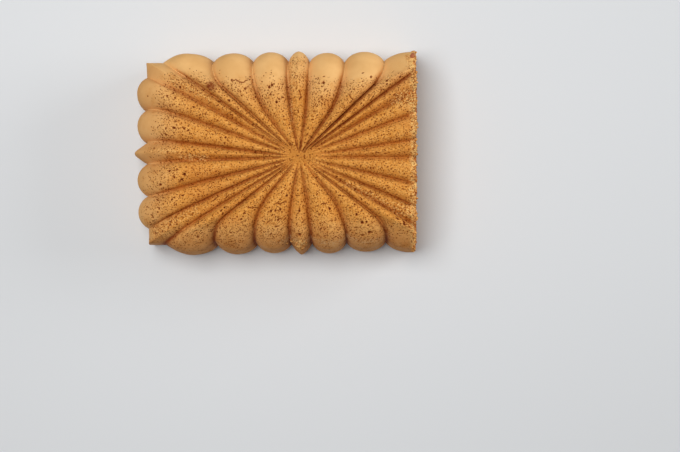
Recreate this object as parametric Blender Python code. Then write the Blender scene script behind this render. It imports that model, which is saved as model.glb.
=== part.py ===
"""A hazelnut cake baked in a fluted loaf tin and turned out, ribs up, with its right end cut off straight.

Metres, +Z up. The loaf lies along X with the cut at +X, and its base crust rests on z = 0. The ribs run from
the foot of the walls over a round shoulder to one point on the top. All shapes come from the sizes below.
"""

import math

import bmesh
import bpy
import numpy as np

MM = 0.001

# The tin's inside at the foot of its walls, between the grooves, measured from the point where the ribs meet.
HALF_LENGTH = 101.7 * MM
HALF_WIDTH = 60.3 * MM
CUT_X = 75.7 * MM  # from the point where the ribs meet to the cut
CUT_SKEW = math.radians(-0.7)  # the cut is not quite square to the loaf

# Grooves between the ribs, measured along a wall from its middle. Beyond the last one is the corner rib.
SIDE_GROOVES = (6.9 * MM, 30.0 * MM, 56.2 * MM, 90.8 * MM)
END_GROOVES = (7.1 * MM, 28.2 * MM, 49.4 * MM)

# The walls, and the shoulder between wall and top.
WALL_TOP = 38.5 * MM
WALL_TAPER = math.radians(3.6)
WALL_BELLY = 0.9 * MM
SHOULDER_REACH = 25.0 * MM
CORNER_REACH = 1.2  # how much further the shoulder reaches along a corner rib
TOP_AT_SHOULDER = 57.5 * MM  # height of the grooves there
TOP_AT_CENTRE = 59.5 * MM

# A groove climbs the wall straight, then bends towards the middle of the top.
SIDE_STRAIGHT = 21.0 * MM
END_STRAIGHT = 9.0 * MM
BEND = 0.95  # half length of the bend, as a share of the straight stretch
KNOT_OFFSET = -3.8 * MM  # the ribs meet a little off the middle line

# How far the ribs stand out.
LOBE_OUT = 6.7 * MM
SIDE_MIDDLE_OUT = 7.5 * MM  # the narrow rib in the middle of a side
END_MIDDLE_OUT = 8.8 * MM
LOBE_HEIGHT_SHARE = 0.24  # on the top, as a share of the rib's width at the shoulder
MIDDLE_HEIGHT_SHARE = 0.28
CORNER_HEIGHT = 3.0 * MM
CORNER_LOBE_NARROWING = 0.6  # the lobe next to a corner is this much narrower on the top
LOBE_ROUNDNESS = 0.92  # share of a half circle that a lobe's arc takes up
RIDGE_ROUNDING = 0.22  # of the crest of a middle rib, as a share of its half width

# The base crust: flat where it settled, lifting a little towards its round edge.
BASE_LIFT = 3.2 * MM
BASE_RIM = 18.0 * MM

# Unevenness of the baked crust: long soft swells, each with its own direction and phase.
SWELL_HEIGHT = 0.35 * MM
SWELL_LENGTHS = (38 * MM, 55 * MM, 83 * MM)
RIB_SPREAD = 0.07  # how much one rib's height may differ from the next
SEED = 7

# Fineness of the mesh.
LOBE_STEPS = 8
MIDDLE_STEPS = 6
CORNER_STEPS = 3  # on each side of the crest
RIM_STEPS = 3
WALL_STEPS = 4
SHOULDER_STEPS = 7
TOP_STEPS = 11
KNOT_RADIUS = 4.0 * MM  # the last ring round the point where the ribs meet

CRUST_COLOUR = (0.60, 0.29, 0.075, 1.0)
CRUST_ROUGHNESS = 0.62


def clear_scene():
    """Removes every object of the scene."""
    for item in list(bpy.data.objects):
        bpy.data.objects.remove(item, do_unlink=True)


def lobe_profile(across):
    """Height share of a round lobe, from -1 at one groove over 0 at its crest to 1 at the other."""
    rim = math.sqrt(1 - LOBE_ROUNDNESS**2)
    return (math.sqrt(1 - (LOBE_ROUNDNESS * across) ** 2) - rim) / (1 - rim)


def ridge_profile(across):
    """Height share of a rib with straight flanks and a rounded crest."""
    drop = math.hypot(across, RIDGE_ROUNDING) - RIDGE_ROUNDING
    return 1 - drop / (math.hypot(1, RIDGE_ROUNDING) - RIDGE_ROUNDING)


def soft_ramp(x, half):
    """0 before -half and x after half, with a smooth bend between."""
    if x <= -half:
        return 0.0
    if x >= half:
        return x
    return (x + half) ** 2 / (4 * half)


def share(value, start, end):
    """How far value has come from start to end, from 0 to 1."""
    return min(1.0, max(0.0, (value - start) / (end - start)))


def knot_pull(x, y):
    """How much of the knot's offset a point of the plan takes: all in the middle, nothing at the walls."""
    along = max(0.0, 1 - (x / HALF_LENGTH) ** 2)
    across = max(0.0, 1 - (y / HALF_WIDTH) ** 2)
    return along**3 * across


class Station:
    """One line over the loaf, from the foot of the wall to the point where the ribs meet."""

    def __init__(self, along, outward, rib):
        self.outward = np.array(outward, float)
        on_side = abs(self.outward[1]) > 0.5
        wall, half = (HALF_WIDTH, HALF_LENGTH) if on_side else (HALF_LENGTH, HALF_WIDTH)
        grooves = SIDE_GROOVES if on_side else END_GROOVES
        tangent = np.array((abs(self.outward[1]), abs(self.outward[0])))
        self.foot = self.outward * wall + tangent * along
        if on_side:
            straight = SIDE_STRAIGHT * (1 - share(abs(along), grooves[1], grooves[-1]))
            corner = share(abs(along), grooves[-2], grooves[-1])
        else:
            straight = END_STRAIGHT * (1 - share(abs(along), grooves[-2], half))
            corner = share(abs(along), grooves[-1], half)
        self.straight = straight
        self.bend = max(BEND * straight, 1e-6)
        self.turn = self.foot - self.outward * straight
        self.radial = -self.turn / np.linalg.norm(self.turn)
        self.length = straight + float(np.linalg.norm(self.turn))
        self.reach = SHOULDER_REACH * (1 + (CORNER_REACH - 1) * corner)
        self.rib = rib
        start, end = rib["span"]
        place = share(along, start, end) * 2 - 1
        if rib["kind"] == "lobe":
            beside_corner = on_side and rib["outermost"]
            towards_corner = place * (start + end) > 0
            if beside_corner and towards_corner:
                self.profile = math.cos(math.pi / 2 * place)
            else:
                self.profile = lobe_profile(place)
            narrowing = CORNER_LOBE_NARROWING if beside_corner else 1.0
            self.out = LOBE_OUT * rib["scale"]
            self.height = LOBE_HEIGHT_SHARE * (end - start) * narrowing * rib["scale"]
        elif rib["kind"] == "middle":
            self.profile = ridge_profile(place)
            self.out = SIDE_MIDDLE_OUT if on_side else END_MIDDLE_OUT
            self.height = MIDDLE_HEIGHT_SHARE * (end - start)
        else:
            self.profile = ridge_profile(share(abs(along), half, grooves[-1]))
            self.out = 0.0
            self.height = CORNER_HEIGHT

    def path(self, inward):
        """Point of the plan at a distance inward from the foot of the wall."""
        past = inward - self.straight
        return (
            self.turn
            + self.radial * soft_ramp(past, self.bend)
            + self.outward * soft_ramp(-past, self.bend)
        )

    def point(self, inward, height, lean, amount, over=0.0):
        """Point of the surface: lean is its normal (out, up), amount how far the rib stands out there.

        A rib stands out square to its wall, and further over the shoulder along its own line.
        """
        out = self.outward * (1 - over) - self.radial * over
        x, y = self.path(inward) + out / np.linalg.norm(out) * lean[0] * amount
        y += KNOT_OFFSET * knot_pull(x, y)
        return np.array((x, y, height + lean[1] * amount))

    def rows(self):
        """The surface's points from the edge of the flat base up to the last ring round the knot."""
        found = []
        for i in range(RIM_STEPS):
            angle = math.pi / 2 * i / RIM_STEPS
            inset = BASE_RIM * (1 - math.sin(angle))
            fluted = self.out * self.profile * math.sin(angle)
            found.append(
                self.point(inset, BASE_LIFT * (1 - math.cos(angle)), (1, 0), fluted)
            )
        for i in range(WALL_STEPS):
            rise = i / WALL_STEPS
            height = BASE_LIFT + (WALL_TOP - BASE_LIFT) * rise
            belly = WALL_BELLY * math.sin(math.pi * rise)
            inset = (height - BASE_LIFT) * math.tan(WALL_TAPER) - belly
            found.append(self.point(inset, height, (1, 0), self.out * self.profile))
        start = (WALL_TOP - BASE_LIFT) * math.tan(WALL_TAPER)
        rise = TOP_AT_SHOULDER - WALL_TOP
        for i in range(SHOULDER_STEPS):
            angle = math.pi / 2 * i / SHOULDER_STEPS
            lean = np.array((math.cos(angle) / self.reach, math.sin(angle) / rise))
            lean /= np.linalg.norm(lean)
            inset = start + self.reach * (1 - math.cos(angle))
            over = (inset - start) / self.reach
            amount = (self.out * (1 - over) + self.height * over) * self.profile
            height = WALL_TOP + rise * math.sin(angle)
            found.append(self.point(inset, height, lean, amount, min(1, 2.5 * over)))
        start += self.reach
        stop = self.length - KNOT_RADIUS
        for i in range(TOP_STEPS + 1):
            inset = start + (stop - start) * (i / TOP_STEPS)
            left = (self.length - inset) / (self.length - start)
            height = TOP_AT_CENTRE + (TOP_AT_SHOULDER - TOP_AT_CENTRE) * left**2
            found.append(
                self.point(inset, height, (0, 1), self.height * self.profile * left)
            )
        return found


def ribs_of(half, grooves, chance):
    """The ribs of one wall, from corner to corner."""
    edges = [-half, *(-g for g in reversed(grooves)), *grooves, half]
    ribs = []
    for start, end in zip(edges, edges[1:]):
        if start == -half or end == half:
            kind, steps = "corner", CORNER_STEPS
        elif start < 0 < end:
            kind, steps = "middle", MIDDLE_STEPS
        else:
            kind, steps = "lobe", LOBE_STEPS
        ribs.append(
            {
                "span": (start, end),
                "kind": kind,
                "steps": steps,
                "outermost": grooves[-1] in (end, -start),
                "scale": 1 + chance.uniform(-RIB_SPREAD, RIB_SPREAD),
            }
        )
    return ribs


def stations():
    """Every station once round the loaf, anticlockwise from the corner at -X, -Y."""
    chance = np.random.default_rng(SEED)
    found = []
    for outward in ((0, -1), (1, 0), (0, 1), (-1, 0)):
        on_side = outward[1] != 0
        half, grooves = (
            (HALF_LENGTH, SIDE_GROOVES) if on_side else (HALF_WIDTH, END_GROOVES)
        )
        ribs = ribs_of(half, grooves, chance)
        onward = outward in ((0, -1), (1, 0))
        for rib in ribs if onward else reversed(ribs):
            first, last = rib["span"] if onward else rib["span"][::-1]
            for i in range(rib["steps"]):
                along = first + (last - first) * i / rib["steps"]
                found.append(Station(along, outward, rib))
    return found


def swell(point, waves):
    """Soft unevenness of the crust at a point, none on the base."""
    total = 0.0
    for length, (direction, phase) in zip(SWELL_LENGTHS, waves):
        run = point[0] * math.cos(direction) + point[1] * math.sin(direction)
        total += math.sin(2 * math.pi * run / length + phase)
    return total * SWELL_HEIGHT * share(point[2], BASE_LIFT, WALL_TOP)


def loaf_mesh():
    """The whole loaf as it left the tin, closed, with the point where the ribs meet over the origin."""
    chance = np.random.default_rng(SEED)
    waves = [
        (chance.uniform(0, math.pi), chance.uniform(0, 2 * math.pi))
        for _ in SWELL_LENGTHS
    ]
    shape = bmesh.new()
    rings = []
    for station in stations():
        ring = []
        for point in station.rows():
            point[2] += swell(point, waves)
            ring.append(shape.verts.new(point))
        rings.append(ring)
    knot = shape.verts.new((0.0, KNOT_OFFSET, TOP_AT_CENTRE))
    for here, there in zip(rings, rings[1:] + rings[:1]):
        for a, b, c, d in zip(here, there, there[1:], here[1:]):
            shape.faces.new((a, b, c, d))
        shape.faces.new((here[-1], there[-1], knot))
    shape.faces.new([ring[0] for ring in reversed(rings)])
    bmesh.ops.recalc_face_normals(shape, faces=shape.faces)
    return shape


def cut_end(shape):
    """Cuts the loaf straight across and closes the cut."""
    everything = list(shape.verts) + list(shape.edges) + list(shape.faces)
    cut = bmesh.ops.bisect_plane(
        shape,
        geom=everything,
        dist=1e-6,
        plane_co=(CUT_X, 0, 0),
        plane_no=(math.cos(CUT_SKEW), math.sin(CUT_SKEW), 0),
        clear_outer=True,
    )
    rim = [item for item in cut["geom_cut"] if isinstance(item, bmesh.types.BMEdge)]
    bmesh.ops.holes_fill(shape, edges=rim, sides=0)


def set_on_origin(shape):
    """Moves the loaf so that the middle of its base lies on the origin."""
    points = np.array([vert.co for vert in shape.verts])
    middle = (points.min(axis=0) + points.max(axis=0)) / 2
    for vert in shape.verts:
        vert.co.x -= middle[0]
        vert.co.y -= middle[1]


def crust_material():
    """Golden brown crust."""
    material = bpy.data.materials.new("crust")
    material.use_nodes = True
    shader = material.node_tree.nodes["Principled BSDF"]
    shader.inputs["Base Color"].default_value = CRUST_COLOUR
    shader.inputs["Roughness"].default_value = CRUST_ROUGHNESS
    shader.inputs["Metallic"].default_value = 0.0
    return material


def build_cake():
    """Makes the cake as one solid."""
    shape = loaf_mesh()
    cut_end(shape)
    set_on_origin(shape)
    bmesh.ops.triangulate(shape, faces=shape.faces)
    mesh = bpy.data.meshes.new("cake")
    shape.to_mesh(mesh)
    shape.free()
    mesh.materials.append(crust_material())
    cake = bpy.data.objects.new("cake", mesh)
    bpy.context.scene.collection.objects.link(cake)
    mesh.shade_smooth()
    mesh.set_sharp_from_angle(angle=math.radians(40))
    return cake


clear_scene()
build_cake()
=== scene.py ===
"""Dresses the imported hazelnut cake: its fluted crust, base crust, cut crumb and the crumbs that cling to it.

Metres, +Z up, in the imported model's own frame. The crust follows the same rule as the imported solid, from the
same named sizes, with a finer mesh that also holds pits, cracks, grooves and crumbly ribs.
"""

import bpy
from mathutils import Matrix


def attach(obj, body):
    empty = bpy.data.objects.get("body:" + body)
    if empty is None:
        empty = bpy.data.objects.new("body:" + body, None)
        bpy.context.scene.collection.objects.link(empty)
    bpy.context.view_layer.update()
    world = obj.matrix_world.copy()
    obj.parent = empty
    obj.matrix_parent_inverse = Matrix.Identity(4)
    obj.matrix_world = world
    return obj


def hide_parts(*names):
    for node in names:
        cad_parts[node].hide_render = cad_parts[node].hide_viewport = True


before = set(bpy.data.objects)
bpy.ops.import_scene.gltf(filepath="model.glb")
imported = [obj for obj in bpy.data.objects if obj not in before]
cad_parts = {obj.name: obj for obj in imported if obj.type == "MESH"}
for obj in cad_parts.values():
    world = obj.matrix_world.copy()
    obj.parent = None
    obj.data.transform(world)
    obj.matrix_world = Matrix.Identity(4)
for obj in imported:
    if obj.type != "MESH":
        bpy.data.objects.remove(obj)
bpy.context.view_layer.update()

import logging
import math
from dataclasses import dataclass, field
from enum import Enum
from typing import Any

import bmesh
import bpy
import numpy as np
from mathutils.geometry import delaunay_2d_cdt

log = logging.getLogger("cake")

MM = 0.001
BODY = "root"
NODE = "cake"
BAKE_MAP = "OFBake"

Pair = tuple[float, float]
Triple = tuple[float, float, float]
Colour = Triple
CRUST_MARKS = ("pore", "seam", "brown", "pit", "crumble", "scorch", "flour", "rim", "knot", "tone")


class Rib(Enum):
    """The kinds of rib that the tin presses into the cake."""

    LOBE = "lobe"
    MIDDLE = "middle"
    CORNER = "corner"


class Wall(Enum):
    """The tin's four walls, by the way that each one faces."""

    FRONT = (0.0, -1.0)
    CUT_END = (1.0, 0.0)
    BACK = (0.0, 1.0)
    LEFT_END = (-1.0, 0.0)

    @property
    def on_side(self) -> bool:
        """Whether this is one of the two long walls."""
        return self.value[1] != 0

    @property
    def onward(self) -> bool:
        """Whether going anticlockwise round the loaf runs along +X or +Y here."""
        return self in (Wall.FRONT, Wall.CUT_END)


class Zone(Enum):
    """The stretches of one line over the loaf, from the middle of its base to the middle of its top."""

    BASE = 0
    RIM = 1
    WALL = 2
    SHOULDER = 3
    TOP = 4


def share(value: Any, start: float, end: float) -> Any:
    """How far value has come from start to end, from 0 to 1."""
    return np.clip((value - start) / (end - start), 0.0, 1.0)


def smooth(value: Any, start: float, end: float) -> Any:
    """As share, with soft ends."""
    t = share(value, start, end)
    return t * t * (3 - 2 * t)


def bell(value: Any, width: Any, power: float = 2.0) -> Any:
    """A bump of 1 where value is 0, which falls off over width."""
    return np.exp(-((value / width) ** power))


def srgb(red: int, green: int, blue: int) -> Colour:
    """Turns a screen colour into linear light.

    Args:
        red: from 0 to 255.
        green: the same.
        blue: the same.

    Returns:
        The colour's three parts, from 0 to 1.
    """
    parts = [c / 255 for c in (red, green, blue)]
    linear = [c / 12.92 if c <= 0.04045 else ((c + 0.055) / 1.055) ** 2.4 for c in parts]
    return linear[0], linear[1], linear[2]


def linked(name: str, data: Any) -> bpy.types.Object:
    """Makes an object.

    Args:
        name: its name.
        data: its mesh, camera or light.

    Returns:
        The new object, linked to the scene.
    """
    made = bpy.data.objects.new(name, data)
    bpy.context.scene.collection.objects.link(made)
    return made


class Grain:
    """Smooth repeatable unevenness in space, the same for the same seed."""

    CELLS = 4096

    def __init__(self, seed: int) -> None:
        """Draws the slopes.

        Args:
            seed: which pattern it is.
        """
        chance = np.random.default_rng(seed)
        slopes = chance.normal(size=(self.CELLS, 3))
        self.slopes = slopes / np.linalg.norm(slopes, axis=1)[:, None]
        self.key = int(chance.integers(1, 1 << 20))

    def at(self, points: np.ndarray, size: float) -> np.ndarray:
        """The unevenness at points.

        Args:
            points: array of places, with three numbers last.
            size: how long one swell is, in metres.

        Returns:
            One number for each point, from about -1 to 1.
        """
        scaled = points / size
        corner = np.floor(scaled).astype(np.int64)
        inside = scaled - corner
        ease = inside * inside * inside * (inside * (inside * 6 - 15) + 10)
        total = np.zeros(points.shape[:-1])
        for step in map(np.array, np.ndindex(2, 2, 2)):
            x, y, z = np.moveaxis(corner + step, -1, 0)
            mixed = (x * 73856093) ^ (y * 19349663) ^ (z * 83492791) ^ self.key
            slope = self.slopes[(mixed ^ (mixed >> 13)) % self.CELLS]
            weight = np.prod(np.where(step == 1, ease, 1 - ease), axis=-1)
            total += weight * np.sum(slope * (inside - step), axis=-1)
        return total * 1.6

    def layered(self, points: np.ndarray, size: float, layers: int) -> np.ndarray:
        """Unevenness with finer layers on top, each half as long and half as high.

        Args:
            points: array of places, with three numbers last.
            size: how long the longest swell is, in metres.
            layers: how many layers there are.

        Returns:
            One number for each point, from about -1 to 1.
        """
        total = np.zeros(points.shape[:-1])
        for layer in range(layers):
            total += self.at(points + layer * 0.37, size / 2**layer) / 2**layer
        return total / (2 - 2 ** (1 - layers))


@dataclass(frozen=True)
class Span:
    """One rib's stretch of its wall.

    A rib's height differs from the next one's by its scale.
    """

    kind: Rib
    start: float
    end: float
    outermost: bool
    scale: float


@dataclass(frozen=True)
class Tin:
    """The fluted tin's inside, measured from the point where the ribs meet, and the straight cut."""

    half_length: float = 101.7 * MM
    half_width: float = 60.3 * MM
    cut_x: float = 75.7 * MM
    cut_skew: float = math.radians(-0.7)
    side_grooves: tuple[float, ...] = (6.9 * MM, 30.0 * MM, 56.2 * MM, 90.8 * MM)
    end_grooves: tuple[float, ...] = (7.1 * MM, 28.2 * MM, 49.4 * MM)
    wall_top: float = 38.5 * MM
    wall_taper: float = math.radians(3.6)
    wall_belly: float = 0.9 * MM
    shoulder_reach: float = 25.0 * MM
    corner_reach: float = 1.2
    top_at_shoulder: float = 57.5 * MM
    top_at_centre: float = 59.5 * MM
    side_straight: float = 21.0 * MM
    end_straight: float = 9.0 * MM
    bend: float = 0.95
    knot_offset: float = -3.8 * MM
    lobe_out: float = 6.7 * MM
    side_middle_out: float = 7.5 * MM
    end_middle_out: float = 8.8 * MM
    lobe_height_share: float = 0.24
    middle_height_share: float = 0.28
    corner_height: float = 3.0 * MM
    corner_lobe_narrowing: float = 0.6
    lobe_roundness: float = 0.92
    ridge_rounding: float = 0.22
    base_lift: float = 3.2 * MM
    base_rim: float = 18.0 * MM
    middle_roundness: tuple[float, ...] = (0.35, 0.2, 0.85, 0.0)  # how worn each wall's middle rib is
    swell_height: float = 0.35 * MM
    swell_lengths: tuple[float, ...] = (38 * MM, 55 * MM, 83 * MM)
    rib_spread: float = 0.07
    seed: int = 7

    def half_of(self, wall: Wall) -> float:
        """Half the length of a wall."""
        return self.half_length if wall.on_side else self.half_width

    def grooves_of(self, wall: Wall) -> tuple[float, ...]:
        """The grooves of a wall, from its middle outwards."""
        return self.side_grooves if wall.on_side else self.end_grooves

    def spans(self, wall: Wall, chance: np.random.Generator) -> list[Span]:
        """The ribs of one wall, from corner to corner.

        Args:
            wall: the wall.
            chance: draws each rib's scale.

        Returns:
            One span for each rib.
        """
        half, grooves = self.half_of(wall), self.grooves_of(wall)
        edges = [-half, *(-g for g in reversed(grooves)), *grooves, half]
        found = []
        for start, end in zip(edges, edges[1:]):
            if start == -half or end == half:
                kind = Rib.CORNER
            elif start < 0 < end:
                kind = Rib.MIDDLE
            else:
                kind = Rib.LOBE
            outermost = grooves[-1] in (end, -start)
            scale = 1 + chance.uniform(-self.rib_spread, self.rib_spread)
            found.append(Span(kind, start, end, outermost, scale))
        return found

    def lobe_profile(self, across: float) -> float:
        """Height share of a round lobe: 1 on its crest and 0 at its grooves, where across is -1 or 1."""
        rim = math.sqrt(1 - self.lobe_roundness**2)
        return (math.sqrt(1 - (self.lobe_roundness * across) ** 2) - rim) / (1 - rim)

    def ridge_profile(self, across: float) -> float:
        """Height share of a rib with straight flanks and a rounded crest."""
        drop = math.hypot(across, self.ridge_rounding) - self.ridge_rounding
        return 1 - drop / (math.hypot(1, self.ridge_rounding) - self.ridge_rounding)

    def knot_pull(self, x: np.ndarray, y: np.ndarray) -> np.ndarray:
        """How much of the knot's offset each point of the plan takes."""
        along = np.maximum(0.0, 1 - (x / self.half_length) ** 2)
        return along**3 * np.maximum(0.0, 1 - (y / self.half_width) ** 2)

    def swell(self, points: np.ndarray) -> np.ndarray:
        """How far the soft unevenness of the whole loaf lifts each point.

        Args:
            points: array of places, with three numbers last.

        Returns:
            One height for each point.
        """
        chance = np.random.default_rng(self.seed)
        total = np.zeros(points.shape[:-1])
        for length in self.swell_lengths:
            direction = chance.uniform(0, math.pi)
            phase = chance.uniform(0, 2 * math.pi)
            run = points[..., 0] * math.cos(direction) + points[..., 1] * math.sin(direction)
            total += np.sin(2 * math.pi * run / length + phase)
        return total * self.swell_height * share(points[..., 2], self.base_lift, self.wall_top)

    def past_cut(self, points: np.ndarray) -> np.ndarray:
        """How far each point lies beyond the cut, below zero on the cake's side."""
        x = (points[..., 0] - self.cut_x) * math.cos(self.cut_skew)
        return x + points[..., 1] * math.sin(self.cut_skew)


@dataclass(frozen=True)
class Rows:
    """How many points a line over the loaf has in each zone, and what they are there."""

    base: int = 40
    rim: int = 8
    wall: int = 40
    shoulder: int = 64
    top: int = 140

    @property
    def zones(self) -> np.ndarray:
        """The zone of each row.

        Returns:
            The zones' numbers.
        """
        counts = {
            Zone.BASE: self.base, Zone.RIM: self.rim, Zone.WALL: self.wall,
            Zone.SHOULDER: self.shoulder, Zone.TOP: self.top,
        }
        return np.concatenate([np.full(n, zone.value) for zone, n in counts.items()])

    @property
    def over(self) -> np.ndarray:
        """How far each row has come over the shoulder.

        Returns:
            Shares, 0 on the wall and 1 on the top.
        """
        angles = math.pi / 2 * np.arange(self.shoulder) / self.shoulder
        below = np.zeros(self.base + self.rim + self.wall)
        return np.concatenate([below, 1 - np.cos(angles), np.ones(self.top)])

    @property
    def left(self) -> np.ndarray:
        """The share of the top that each row still has before it, 1 before the top starts."""
        below = np.ones(self.base + self.rim + self.wall + self.shoulder)
        return np.concatenate([below, np.linspace(1, 0, self.top)])


class Station:
    """One line over the loaf, from the middle of the base round the wall to the point where the ribs meet."""

    def __init__(self, tin: Tin, wall: Wall, along: float, span: Span) -> None:
        """Finds where the line runs and how far its rib stands out.

        Args:
            tin: the tin's sizes.
            wall: the wall that the line climbs.
            along: the line's distance from the middle of that wall.
            span: the rib that it lies on.
        """
        self.tin = tin
        self.outward = np.array(wall.value)
        half, grooves = tin.half_of(wall), tin.grooves_of(wall)
        reach = tin.half_width if wall.on_side else tin.half_length
        tangent = np.abs(self.outward[::-1])
        self.foot = self.outward * reach + tangent * along
        if wall.on_side:
            self.straight = tin.side_straight * (1 - share(abs(along), grooves[1], grooves[-1]))
            corner = share(abs(along), grooves[-2], grooves[-1])
        else:
            self.straight = tin.end_straight * (1 - share(abs(along), grooves[-2], half))
            corner = share(abs(along), grooves[-1], half)
        self.bend = max(tin.bend * self.straight, 1e-6)
        self.turn = self.foot - self.outward * self.straight
        self.radial = -self.turn / np.linalg.norm(self.turn)
        self.length = self.straight + float(np.linalg.norm(self.turn))
        self.reach = tin.shoulder_reach * (1 + (tin.corner_reach - 1) * corner)
        place = share(along, span.start, span.end) * 2 - 1
        width = span.end - span.start
        if span.kind is Rib.LOBE:
            beside_corner = wall.on_side and span.outermost
            if beside_corner and place * (span.start + span.end) > 0:
                self.profile = math.cos(math.pi / 2 * place)
            else:
                self.profile = tin.lobe_profile(place)
            narrowing = tin.corner_lobe_narrowing if beside_corner else 1.0
            self.out = tin.lobe_out * span.scale
            self.height = tin.lobe_height_share * width * narrowing * span.scale
        elif span.kind is Rib.MIDDLE:
            roundness = tin.middle_roundness[list(Wall).index(wall)]
            self.profile = roundness * tin.lobe_profile(place) + (1 - roundness) * tin.ridge_profile(place)
            self.out = tin.side_middle_out if wall.on_side else tin.end_middle_out
            self.height = tin.middle_height_share * width
        else:
            self.profile = tin.ridge_profile(float(share(abs(along), half, grooves[-1])))
            self.out = 0.0
            self.height = tin.corner_height

    def path(self, inward: np.ndarray) -> np.ndarray:
        """Points of the plan at distances inward from the foot of the wall.

        Args:
            inward: the distances.

        Returns:
            One plan point for each distance.
        """

        def ramp(x: np.ndarray) -> np.ndarray:
            """0 before the bend and x after it, with a smooth bend between."""
            inside = (x + self.bend) ** 2 / (4 * self.bend)
            return np.where(x <= -self.bend, 0.0, np.where(x >= self.bend, x, inside))

        past = inward - self.straight
        return self.turn + np.outer(ramp(past), self.radial) + np.outer(ramp(-past), self.outward)

    def place(
        self, inward: np.ndarray, height: np.ndarray, lean: np.ndarray, amount: np.ndarray, over: np.ndarray
    ) -> np.ndarray:
        """Points of the surface.

        Args:
            inward: distance of each from the foot of the wall, in plan.
            height: height of each before its rib is added.
            lean: the surface's normal there, as (out, up).
            amount: how far the rib stands out there.
            over: how far the rib has turned from square to its wall into its own line.

        Returns:
            One point for each row.
        """
        out = np.outer(1 - over, self.outward) - np.outer(over, self.radial)
        out /= np.linalg.norm(out, axis=1)[:, None]
        plan = self.path(inward) + out * (lean[:, 0] * amount)[:, None]
        plan[:, 1] += self.tin.knot_offset * self.tin.knot_pull(plan[:, 0], plan[:, 1])
        return np.column_stack([plan, height + lean[:, 1] * amount])

    def line(self, rows: Rows) -> np.ndarray:
        """The whole line's points.

        Args:
            rows: how many points each zone has.

        Returns:
            One point for each row, from the middle of the base to the knot.
        """
        tin = self.tin
        outward, upward = np.array((1.0, 0.0)), np.array((0.0, 1.0))
        angle = math.pi / 2 * np.arange(rows.rim) / rows.rim
        rim = self.place(
            tin.base_rim * (1 - np.sin(angle)),
            tin.base_lift * (1 - np.cos(angle)),
            np.tile(outward, (rows.rim, 1)),
            self.out * self.profile * np.sin(angle),
            np.zeros(rows.rim),
        )
        base = rim[0] * (np.arange(rows.base) / rows.base)[:, None]
        rise = np.arange(rows.wall) / rows.wall
        height = tin.base_lift + (tin.wall_top - tin.base_lift) * rise
        inset = (height - tin.base_lift) * math.tan(tin.wall_taper) - tin.wall_belly * np.sin(math.pi * rise)
        wall = self.place(
            inset, height, np.tile(outward, (rows.wall, 1)),
            np.full(rows.wall, self.out * self.profile), np.zeros(rows.wall),
        )
        start = (tin.wall_top - tin.base_lift) * math.tan(tin.wall_taper)
        rise = tin.top_at_shoulder - tin.wall_top
        angle = math.pi / 2 * np.arange(rows.shoulder) / rows.shoulder
        lean = np.column_stack([np.cos(angle) / self.reach, np.sin(angle) / rise])
        lean /= np.linalg.norm(lean, axis=1)[:, None]
        over = 1 - np.cos(angle)
        amount = (self.out * (1 - over) + self.height * over) * self.profile
        shoulder = self.place(
            start + self.reach * over, tin.wall_top + rise * np.sin(angle), lean, amount,
            np.minimum(1, 2.5 * over),
        )
        start += self.reach
        left = np.linspace(1, 0, rows.top)
        top = self.place(
            self.length - left * (self.length - start),
            tin.top_at_centre + (tin.top_at_shoulder - tin.top_at_centre) * left**2,
            np.tile(upward, (rows.top, 1)),
            self.height * self.profile * left,
            np.zeros(rows.top),
        )
        return np.vstack([base, rim, wall, shoulder, top])


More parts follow.
